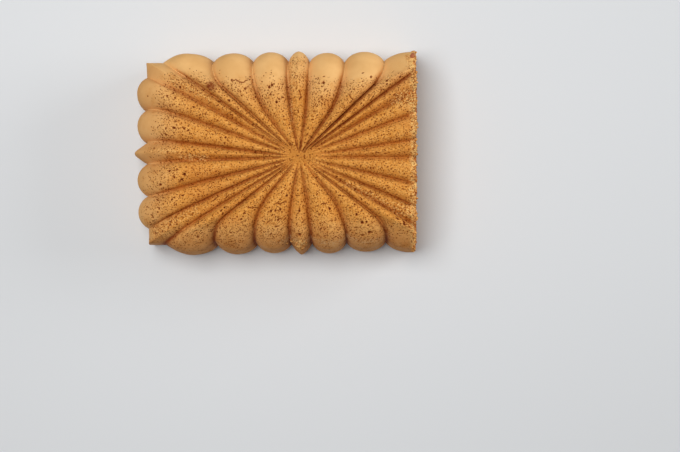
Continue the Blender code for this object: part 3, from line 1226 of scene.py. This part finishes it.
@dataclass(frozen=True)
class CrustFinish:
    """Golden crust: smooth and pale low down, porous and browner on the ribs, dark in the grooves, with painted
    shade on flanks facing away from the light, on the lower front wall, in the front recesses and partly in the
    holes.
    """

    smooth_tan: Colour = srgb(240, 189, 123)
    shaded_tan: Colour = srgb(222, 168, 102)
    baked: Colour = srgb(224, 152, 69)
    golden: Colour = srgb(242, 182, 100)
    browned: Colour = srgb(178, 98, 26)
    # dark red-brown of the groove lines, also used as painted shade in the front recesses
    seam: Colour = srgb(128, 46, 10)
    # pore and deep: the crust's darker colour in its holes, partly painted shade inside them
    pore: Colour = srgb(128, 54, 10)
    deep: Colour = srgb(100, 38, 12)
    rust: Colour = srgb(190, 96, 36)
    knot: Colour = srgb(194, 126, 52)
    scorched: Colour = srgb(118, 38, 18)
    crumb: Colour = srgb(246, 200, 124)
    flour: Colour = srgb(222, 188, 138)
    roughness: float = 0.74
    shine: float = 0.06

    def make(self) -> bpy.types.Material:
        """Builds the material.

        Returns:
            The material.
        """
        g = Graph("golden_crust")
        at = g.place()
        pore, seam, brown, pit, crumble, scorch, flour, rim, knot, tone = map(g.mark, CRUST_MARKS)
        patches = g.noise(at, 24 * MM, 3.0)
        mottle = g.noise(g.shifted(at, 0.3, 0.1, 0.2), 5 * MM, 3.0, 0.55)
        fine = g.noise(at, 1.1 * MM, 3.0, 0.65)
        open_here = (pore + (mottle - 0.5) * 0.6).rise(0.0, 0.9)
        coarse = g.holes(at, 1.9 * MM, 0.22, 0.37, open_here, 0.3)
        middling = g.holes(g.shifted(at, 0.5, 0.2, 0.7), 1.2 * MM, 0.28, 0.40, open_here, 0.35)
        tiny = g.holes(g.shifted(at, 0.2, 0.6, 0.4), 0.8 * MM, 0.22, 0.42, open_here, 0.5)
        holes = coarse.most(middling * 0.95).most(tiny * 0.6)
        colour = g.layers(
            self.smooth_tan,
            (self.shaded_tan, patches.rise(0.40, 0.65) * 0.6),
            (self.baked, tone + (mottle - 0.5) * 0.4),
            (self.golden, fine.rise(0.50, 0.66) * open_here * 0.75),
            (self.browned, fine.rise(0.48, 0.34) * open_here * 0.4),
            (self.rust, patches.rise(0.54, 0.7) * pore * 0.25),
            (self.browned, mottle.rise(0.5, 0.75) * pore * 0.3),
            (self.knot, knot * 0.55),
            # browning beside the grooves and low on the walls, with painted shade on flanks facing away from the
            # light and on the lower front wall
            (self.browned, brown * (mottle * 0.8 + 0.5)),
            # dark groove lines, with painted shade in the recesses between the front lobes
            (self.seam, seam),
            (self.flour, flour * fine.rise(0.44, 0.58) * 0.45),
            (self.crumb, crumble * fine.rise(0.46, 0.6) * 0.7),
            (self.crumb, rim * (fine + (mottle - 0.5) * 0.5).rise(0.36, 0.54) * 0.9),
            (self.browned, crumble * fine.rise(0.5, 0.38) * 0.8),
            (self.scorched, scorch * (mottle + 0.45)),
            # holes and pits darkened: partly their own colour, partly painted shade inside them
            (self.pore, holes.most(pit.rise(0.1, 0.6)) * 0.9),
            (self.deep, pit.rise(0.55, 0.95) * 0.9),
        )
        g.set(
            Base_Color=colour, Roughness=self.roughness + (mottle - 0.5) * 0.12,
            Normal=g.bump(fine * 0.35 - holes, 0.4 * MM, 0.7), Specular_IOR_Level=self.shine,
        )
        return g.material


@dataclass(frozen=True)
class BaseFinish:
    """The base crust: red-brown, dry and finely grained."""

    brown: Colour = srgb(172, 92, 48)
    dark: Colour = srgb(126, 58, 26)
    light: Colour = srgb(206, 132, 78)
    roughness: float = 0.8
    shine: float = 0.1

    def make(self) -> bpy.types.Material:
        """Builds the material.

        Returns:
            The material.
        """
        g = Graph("base_crust")
        at = g.place()
        patches = g.noise(at, 18 * MM, 4.0, 0.6)
        fine = g.noise(g.shifted(at, 0.2, 0.4, 0.1), 1.2 * MM, 4.0, 0.65)
        holes = g.holes(at, 1.5 * MM, 0.10, 0.36)
        colour = g.layers(
            self.brown,
            (self.dark, patches.rise(0.42, 0.68) * 0.8),
            (self.light, fine.rise(0.52, 0.72) * 0.75),
            # holes darkened: partly their own colour, partly painted shade inside them
            (self.dark, holes * 0.85),
        )
        g.set(
            Base_Color=colour, Roughness=self.roughness + (fine - 0.5) * 0.1,
            Normal=g.bump(fine * 0.6 - holes, 0.3 * MM), Specular_IOR_Level=self.shine,
        )
        return g.material


@dataclass(frozen=True)
class CrumbFinish:
    """The cut crumb: moist mustard yellow, with brown nut flecks and holes, browned towards the crust."""

    crumb: Colour = srgb(192, 132, 46)
    pale: Colour = srgb(216, 160, 74)
    deep: Colour = srgb(146, 86, 20)
    # hole: darker crumb colour in the holes, partly painted shade inside them
    hole: Colour = srgb(100, 48, 12)
    nut: Colour = srgb(112, 58, 28)
    browned: Colour = srgb(194, 112, 44)
    crust: Colour = srgb(176, 92, 36)
    roughness: float = 0.7
    shine: float = 0.15

    def make(self) -> bpy.types.Material:
        """Builds the material.

        Returns:
            The material.
        """
        g = Graph("cut_crumb")
        at = g.place()
        hole, nut, rim, base = map(g.mark, ("hole", "nut", "rim", "base"))
        patches = g.noise(at, 7 * MM, 3.0, 0.6)
        mottle = g.noise(g.shifted(at, 0.1, 0.3, 0.2), 2.0 * MM, 3.0, 0.6)
        fine = g.noise(at, 0.7 * MM, 3.0, 0.6)
        small = g.holes(at, 1.0 * MM, 0.10, 0.36)
        tiny = g.holes(g.shifted(at, 0.4, 0.2, 0.3), 0.55 * MM, 0.12, 0.42)
        fleck = g.holes(g.shifted(at, 0.7, 0.1, 0.5), 1.7 * MM, 0.10, 0.42, 0.45, 0.5)
        holes = hole.most(small).most(tiny * 0.5)
        colour = g.layers(
            self.crumb,
            (self.pale, patches.rise(0.45, 0.72) * 0.6),
            (self.deep, mottle.rise(0.52, 0.36) * 0.7),
            (self.pale, fine.rise(0.50, 0.66) * 0.7),
            (self.deep, fine.rise(0.48, 0.36) * 0.5),
            (self.nut, fleck.most(nut) * 0.85),
            (self.browned, (rim + (mottle - 0.5) * 0.5).rise(0.2, 0.7) * 0.85),
            (self.crust, (rim + (mottle - 0.5) * 0.4).rise(0.4, 0.8) * 0.9),
            (self.crust, (base + (mottle - 0.5) * 0.3).rise(0.45, 0.8) * 0.9),
            # holes darkened: partly their own colour, partly painted shade inside them
            (self.hole, holes * 0.75),
        )
        g.set(
            Base_Color=colour, Roughness=self.roughness + (fine - 0.5) * 0.2,
            Normal=g.bump(fine * 0.6 + mottle * 0.4 - holes, 0.45 * MM), Specular_IOR_Level=self.shine,
        )
        return g.material


@dataclass(frozen=True)
class BitFinish:
    """Loose-looking crumbs that still cling to the crust."""

    pale: Colour = srgb(226, 168, 96)
    brown: Colour = srgb(170, 98, 42)
    nut: Colour = srgb(172, 100, 72)
    roughness: float = 0.8
    shine: float = 0.08

    def make(self) -> bpy.types.Material:
        """Builds the material.

        Returns:
            The material.
        """
        g = Graph("clinging_crumbs")
        at = g.place()
        tone = g.noise(at, 1.6 * MM, 2.0)
        fine = g.noise(at, 0.4 * MM, 2.0)
        colour = g.layers(
            self.pale,
            (self.brown, tone.rise(0.42, 0.62)),
            (self.nut, g.mark("nut") * (fine * 0.6 + 0.6)),
        )
        g.set(
            Base_Color=colour, Roughness=self.roughness + (fine - 0.5) * 0.1,
            Normal=g.bump(fine, 0.1 * MM), Specular_IOR_Level=self.shine,
        )
        return g.material


@dataclass
class CutFace:
    """The cut through the cake: open crumb with holes and nut pieces, inside the crust's outline."""

    name: str = "cut_crumb"
    spacing: float = 0.5 * MM
    clear: float = 0.28 * MM
    roughness: float = 0.28 * MM
    holes: int = 1500
    hole_radii: Pair = (0.35 * MM, 1.5 * MM)
    nuts: int = 260
    nut_radii: Pair = (0.3 * MM, 1.5 * MM)
    hole_rarity: float = 5.0  # how rare the large ones are
    nut_rarity: float = 2.0
    hole_depth: float = 0.75  # share of the radius
    nut_height: float = 0.25
    hole_clear: float = 0.8 * MM  # between the outline and the nearest hole's middle
    grain_length: float = 2.6 * MM
    swell: float = 0.35 * MM
    swell_length: float = 9 * MM
    jitter: float = 0.12  # share of the spacing
    rim_reach: float = 2.6 * MM
    grain_seeds: tuple[int, int] = (61, 62)
    seed: int = 5

    def outline(self, edges: np.ndarray) -> np.ndarray:
        """Chains the edges of the cut into one loop.

        Args:
            edges: pairs of points.

        Returns:
            The loop's points in order.
        """
        keys: dict[tuple[int, ...], int] = {}
        points: list[np.ndarray] = []
        next_to: dict[int, list[int]] = {}
        for pair in edges:
            ends = []
            for point in pair:
                key = tuple(np.round(point / 2e-6).astype(int))
                near = [
                    keys[k] for dy in (-1, 0, 1) for dz in (-1, 0, 1)
                    if (k := (key[0], key[1] + dy, key[2] + dz)) in keys
                ] or [
                    keys[k] for dx in (-1, 1) for dy in (-1, 0, 1) for dz in (-1, 0, 1)
                    if (k := (key[0] + dx, key[1] + dy, key[2] + dz)) in keys
                ]
                if near:
                    ends.append(near[0])
                else:
                    keys[key] = len(points)
                    ends.append(len(points))
                    points.append(np.array(point))
            if ends[0] != ends[1]:
                next_to.setdefault(ends[0], []).append(ends[1])
                next_to.setdefault(ends[1], []).append(ends[0])
        here = min(next_to, key=lambda i: points[i][2])
        loop, seen = [here], {here}
        while True:
            onward = [i for i in next_to[here] if i not in seen]
            if not onward:
                break
            here = onward[0]
            loop.append(here)
            seen.add(here)
        log.info("cut outline: %d of %d points in one loop", len(loop), len(points))
        return np.array([points[i] for i in loop])

    def build(self, loaf: Loaf, edges: np.ndarray) -> bpy.types.Object:
        """Makes the face.

        Args:
            loaf: the surface that it closes.
            edges: the edges along the cut.

        Returns:
            The new object.
        """
        loop = self.outline(edges)
        flat = loop[:, 1:]
        chance = np.random.default_rng(self.seed)
        low, high = flat.min(axis=0), flat.max(axis=0)
        across = np.arange(low[0], high[0], self.spacing)
        upward = np.arange(low[1], high[1], self.spacing * 0.87)
        grid = np.array(np.meshgrid(across, upward, indexing="xy"))
        grid[0, ::2] += self.spacing / 2
        scatter = chance.uniform(-self.jitter, self.jitter, (grid[0].size, 2)) * self.spacing
        spots = grid.reshape(2, -1).T + scatter
        gap, inside = self.to_outline(spots, flat)
        spots = spots[inside & (gap > self.clear)]
        everything = [tuple(p) for p in np.vstack([flat, spots])]
        count = len(flat)
        ring = [(i, (i + 1) % count) for i in range(count)]
        found = delaunay_2d_cdt(everything, ring, [list(range(count))], 1, 1e-9)
        flat = np.array([tuple(p) for p in found[0]])
        faces = np.array([f for f in found[2] if len(f) == 3])
        tin = loaf.tin
        x = tin.cut_x + loaf.shift_found[0] - (flat[:, 0] - loaf.shift_found[1]) * math.tan(tin.cut_skew)
        points = np.column_stack([x, flat])
        gap, _ = self.to_outline(flat, loop[:, 1:])
        relief, hole, nut = self.relief(points, gap, chance)
        points[:, 0] += relief * smooth(gap, 0.0, 0.7 * MM) - loaf.fray(points, gap)
        sag = flat[:, 1] - self.base_height(flat[:, 0], loop[:, 1:])
        marks = {
            "hole": hole, "nut": nut,
            "rim": bell(gap, self.rim_reach, 1.0), "base": 1 - smooth(sag, 0.6 * MM, 3.4 * MM),
        }
        first, second, third = np.moveaxis(points[faces], 1, 0)
        area = np.cross(second - first, third - first)[:, 0]
        faces = np.where((area < 0)[:, None], faces[:, ::-1], faces)
        piece = Piece(self.name, points, faces, marks, flat).object()
        piece.data.shade_smooth()
        self.loop = loop
        return piece

    @staticmethod
    def to_outline(spots: np.ndarray, loop: np.ndarray) -> tuple[np.ndarray, np.ndarray]:
        """Distances from the outline.

        Args:
            spots: flat points.
            loop: the outline's flat points.

        Returns:
            Each spot's distance, and whether it lies inside.
        """
        start, end = loop, np.roll(loop, -1, axis=0)
        run = end - start
        square = np.sum(run**2, axis=1) + 1e-18
        gap = np.full(len(spots), np.inf)
        odd = np.zeros(len(spots), dtype=bool)
        for a, b, r, s in zip(start, end, run, square):
            t = np.clip(((spots - a) @ r) / s, 0, 1)
            near = a + t[:, None] * r
            gap = np.minimum(gap, np.sum((spots - near) ** 2, axis=1))
            crosses = (a[1] > spots[:, 1]) != (b[1] > spots[:, 1])
            if a[1] != b[1]:
                edge = a[0] + (spots[:, 1] - a[1]) * r[0] / r[1]
                odd ^= crosses & (spots[:, 0] < edge)
        return np.sqrt(gap), odd

    @staticmethod
    def base_height(across: np.ndarray, loop: np.ndarray) -> np.ndarray:
        """Height of the base's edge across the cut.

        Args:
            across: the places.
            loop: the outline's flat points.

        Returns:
            One height for each place.
        """
        low = loop[loop[:, 1] < 3.3 * MM]
        order = np.argsort(low[:, 0])
        return np.interp(across, low[order, 0], low[order, 1])

    def relief(
        self, points: np.ndarray, gap: np.ndarray, chance: np.random.Generator
    ) -> tuple[np.ndarray, np.ndarray, np.ndarray]:
        """The crumb's relief.

        Args:
            points: the face's points.
            gap: their distance from the outline.
            chance: draws the holes and nuts.

        Returns:
            How far each point stands out, how deep in a hole it is, and how much of a nut it is.
        """
        grain, fine = map(Grain, self.grain_seeds)
        height = self.roughness * grain.layered(points, self.grain_length, 3)
        height += self.swell * fine.at(points, self.swell_length)
        hole, nut = np.zeros(len(points)), np.zeros(len(points))
        inside = np.flatnonzero(gap > self.hole_clear)
        kinds = (
            (self.holes, self.hole_radii, self.hole_rarity, True),
            (self.nuts, self.nut_radii, self.nut_rarity, False),
        )
        for count, (low, high), rarity, deep in kinds:
            places = points[chance.choice(inside, count)]
            sizes = low + (high - low) * chance.uniform(0, 1, count) ** rarity
            turns = chance.uniform(0, math.pi, count)
            for place, size, turn in zip(places, sizes, turns):
                away = points[:, 1:] - place[1:]
                near = np.flatnonzero(np.abs(away).max(axis=1) < size * 1.4)
                y, z = away[near].T
                along = y * math.cos(turn) + z * math.sin(turn)
                side = (z * math.cos(turn) - y * math.sin(turn)) * 1.5
                uneven = 1 + 0.9 * fine.at(points[near] + 0.3, 1.3 * MM)
                bowl = np.clip(1 - uneven * (along**2 + side**2) / size**2, 0, 1)
                if deep:
                    bottom = 0.1 * MM - self.hole_depth * size * np.sqrt(bowl)
                    height[near] = np.minimum(height[near], bottom)
                    hole[near] = np.maximum(hole[near], np.minimum(1, bowl * 1.5))
                else:
                    height[near] = np.maximum(height[near], self.nut_height * size * np.sqrt(bowl))
                    nut[near] = np.maximum(nut[near], np.minimum(1, bowl * 3))
        return height, hole, nut


@dataclass
class Crumbs:
    """Small crumbs that cling to the cut's rim and to the rough ribs, as one mesh."""

    name: str = "clinging_crumbs"
    on_rim: int = 420
    on_ribs: int = 360
    radii: Pair = (0.16 * MM, 0.60 * MM)
    sunk: float = 0.35
    rarity: float = 2.5  # how rare the large ones are
    rim_above: float = 30 * MM
    rim_band: Pair = (-2.0, 0.3)  # from the plane of the cut, in millimetres
    rim_growth: float = 1.5
    stretch: float = 0.35
    lumpiness: float = 0.32
    seed: int = 12
    grain_seed: int = 71
    rim_bit: Pair = (61.6 * MM, 1.9 * MM)  # across the cut, radius
    rim_bit_behind: float = 2.4 * MM
    rim_bit_way: Triple = (0.0, 0.8, 0.6)

    def build(self, loaf: Loaf, loop: np.ndarray) -> bpy.types.Object:
        """Makes the crumbs.

        Args:
            loaf: the surface that they sit on.
            loop: the cut's outline.

        Returns:
            The new object.
        """
        chance = np.random.default_rng(self.seed)
        shape = bmesh.new()
        bmesh.ops.create_icosphere(shape, subdivisions=2, radius=1.0)
        ball = np.array([v.co for v in shape.verts])
        faces = np.array([[v.index for v in f.verts] for f in shape.faces])
        shape.free()
        normal = loaf.normals()
        weight = (loaf.crumble**2 * loaf.ring_gap * (loaf.past_cut(loaf.points) < 0)).ravel()
        spots = chance.choice(weight.size, self.on_ribs, p=weight / weight.sum())
        places = [loaf.points.reshape(-1, 3)[spots]]
        outs = [normal.reshape(-1, 3)[spots]]
        upper = loop[loop[:, 2] > self.rim_above]
        rim = upper[chance.integers(0, len(upper), self.on_rim)]
        middle = np.array((rim[:, 0].mean(), 0.0, self.rim_above))
        way = rim - middle
        rim = rim - np.outer(loaf.fray(rim, np.zeros(len(rim))), (1, 0, 0))
        places.append(rim + np.outer(chance.uniform(*self.rim_band, len(rim)) * MM, (1, 0, 0)))
        outs.append(way / np.linalg.norm(way, axis=1)[:, None])
        place, out = np.vstack(places), np.vstack(outs)
        low, high = self.radii
        size = low + (high - low) * chance.uniform(0, 1, len(place)) ** self.rarity
        size[self.on_ribs:] *= self.rim_growth
        place, out, size = self.with_rim_bit(loop, place, out, size)
        grain = Grain(self.grain_seed)
        points, polygons = [], []
        for i, (p, o, s) in enumerate(zip(place, out, size)):
            stretch = 1 + chance.uniform(-self.stretch, self.stretch, 3)
            lump = ball * stretch * (1 + self.lumpiness * grain.at(ball * 0.9 + i * 3.1, 1.0))[:, None]
            points.append(p + o * s * (1 - self.sunk) * 0.6 + lump * s)
            polygons.append(faces + i * len(ball))
        points, polygons = np.vstack(points), np.vstack(polygons)
        nut = np.zeros(len(points))
        nut[-len(ball):] = 1.0
        piece = Piece(self.name, points, polygons, {"nut": nut}, points[:, :2]).object()
        piece.data.shade_smooth()
        return piece

    def with_rim_bit(
        self, loop: np.ndarray, place: np.ndarray, out: np.ndarray, size: np.ndarray
    ) -> tuple[np.ndarray, np.ndarray, np.ndarray]:
        """Adds the one larger nut bit at the back of the rim.

        Args:
            loop: the cut's outline.
            place: where the crumbs are.
            out: which way each one stands.
            size: their radii.

        Returns:
            The three lists with the bit at their end.
        """
        y, radius = self.rim_bit
        upper = loop[(loop[:, 1] > 0) & (loop[:, 2] > 20 * MM)]
        nearest = upper[np.argmin(np.abs(upper[:, 1] - y + 1.5 * MM))]
        spot = nearest - (self.rim_bit_behind, 0, 0)
        return np.vstack([place, spot]), np.vstack([out, self.rim_bit_way]), np.append(size, radius)


@dataclass(frozen=True)
class Studio:
    """The pale table, the soft light and the camera over the cake."""

    eye: Triple = (42.75 * MM, -49.1 * MM, 980 * MM)
    turn: float = -0.012
    lens: float = 75.95
    sensor: float = 36.0
    clip: Pair = (0.01, 20.0)
    floor_reach: float = 4.0
    floor_colour: Colour = srgb(223, 225, 227)
    floor_roughness: float = 0.6
    floor_shine: float = 0.2
    key_place: Triple = (-0.27, 0.17, 1.46)
    key_size: float = 0.78
    key_power: float = 9.3
    key_aim: Triple = (0.0, 0.2, 0.0)
    fill_place: Triple = (1.5, 0.35, 0.58)
    fill_size: float = 1.0
    fill_power: float = 6.4
    fill_aim: Triple = (0.0, 0.0, 0.0)
    spread: float = math.radians(130)
    sky: float = 0.11
    sky_colour: Colour = (1.0, 1.0, 1.0)

    def build(self) -> None:
        """Sets everything up."""
        self.add_camera()
        self.add_floor()
        self.add_light("key", self.key_place, self.key_aim, self.key_size, self.key_power)
        self.add_light("fill", self.fill_place, self.fill_aim, self.fill_size, self.fill_power)
        self.add_sky()
        bpy.context.scene.view_settings.view_transform = "Standard"

    def add_camera(self) -> None:
        """Hangs the camera straight over the table."""
        data = bpy.data.cameras.new("camera")
        data.lens, data.sensor_width = self.lens, self.sensor
        data.clip_start, data.clip_end = self.clip
        camera = linked("camera", data)
        camera.location = self.eye
        camera.rotation_euler = (0, 0, self.turn)
        bpy.context.scene.camera = camera

    def add_floor(self) -> None:
        """Lays the pale table."""
        reach = self.floor_reach
        mesh = bpy.data.meshes.new("table")
        corners = [(-reach, -reach, 0), (reach, -reach, 0), (reach, reach, 0), (-reach, reach, 0)]
        mesh.from_pydata(corners, [], [(0, 1, 2, 3)])
        floor = linked("table", mesh)
        g = Graph("table")
        g.set(
            Base_Color=self.floor_colour, Roughness=self.floor_roughness, Specular_IOR_Level=self.floor_shine,
        )
        mesh.materials.append(g.material)

    def add_light(self, name: str, place: Triple, aim: Triple, size: float, power: float) -> None:
        """Hangs a soft white light.

        Args:
            name: its name.
            place: where it hangs.
            aim: where it points.
            size: its side.
            power: its power in watts.
        """
        data = bpy.data.lights.new(name, "AREA")
        data.shape, data.size, data.energy = "SQUARE", size, power
        data.spread = self.spread
        light = linked(name, data)
        light.location = place
        way = np.subtract(place, aim)
        way /= np.linalg.norm(way)
        light.rotation_euler = (0, math.acos(way[2]), math.atan2(way[1], way[0]))

    def add_sky(self) -> None:
        """Fills the room with even light."""
        world = bpy.data.worlds.new("room")
        world.use_nodes = True
        back = world.node_tree.nodes["Background"]
        back.inputs["Color"].default_value = (*self.sky_colour, 1)
        back.inputs["Strength"].default_value = self.sky
        bpy.context.scene.world = world


class Cake:
    """The whole cake, piece by piece."""

    def __init__(self) -> None:
        """Prepares the surface and the finishes."""
        self.loaf = Loaf()
        self.crust = CrustFinish().make()
        self.base = BaseFinish().make()
        self.crumb = CrumbFinish().make()
        self.bits = BitFinish().make()

    def settle(self, piece: bpy.types.Object, material: bpy.types.Material) -> None:
        """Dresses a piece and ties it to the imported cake.

        Args:
            piece: the piece.
            material: its finish.
        """
        piece.data.materials.append(material)
        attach(piece, BODY)
        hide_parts(NODE)
        log.info("%s: %d faces", piece.name, len(piece.data.polygons))

    def sectors(self) -> list[Crust]:
        """The crust's sectors, each from groove to groove.

        Returns:
            The four sectors, all round the loaf.
        """
        loaf, ends = self.loaf, []
        for end in (Wall.CUT_END, Wall.LEFT_END):
            corners = [first for first, wall, kind in loaf.starts if wall is end and kind is Rib.CORNER]
            ends.append((min(g for g in loaf.groove_stations if g > corners[0]), corners[-1]))
        (cut_first, cut_last), (left_first, left_last) = ends
        return [
            Crust("crust_front", left_last - len(loaf.points), cut_first),
            Crust("crust_cut_end", cut_first, cut_last),
            Crust("crust_back", cut_last, left_first),
            Crust("crust_left_end", left_first, left_last),
        ]

    def build(self) -> None:
        """Builds every piece."""
        self.loaf.build()
        log.info("loaf: %d stations of %d rows", *self.loaf.points.shape[:2])
        count, rows = self.loaf.points.shape[:2]
        base_rows = self.loaf.rows.base + self.loaf.rows.rim // 2
        sheets = [(sector, base_rows, rows, self.crust) for sector in self.sectors()]
        sheets.append((Crust("base_crust", 0, count), 0, base_rows + 1, self.base))
        edges = []
        for sheet, first_row, last_row, finish in sheets:
            piece, found = sheet.mesh(self.loaf, first_row, last_row)
            edges.append(found)
            self.settle(piece, finish)
        face = CutFace()
        self.settle(face.build(self.loaf, np.concatenate(edges)), self.crumb)
        self.settle(Crumbs().build(self.loaf, face.loop), self.bits)


def main() -> None:
    """Builds the cake and its studio."""
    logging.basicConfig(level=logging.INFO, format="%(message)s")
    Cake().build()
    Studio().build()


if __name__ == "__main__":
    main()
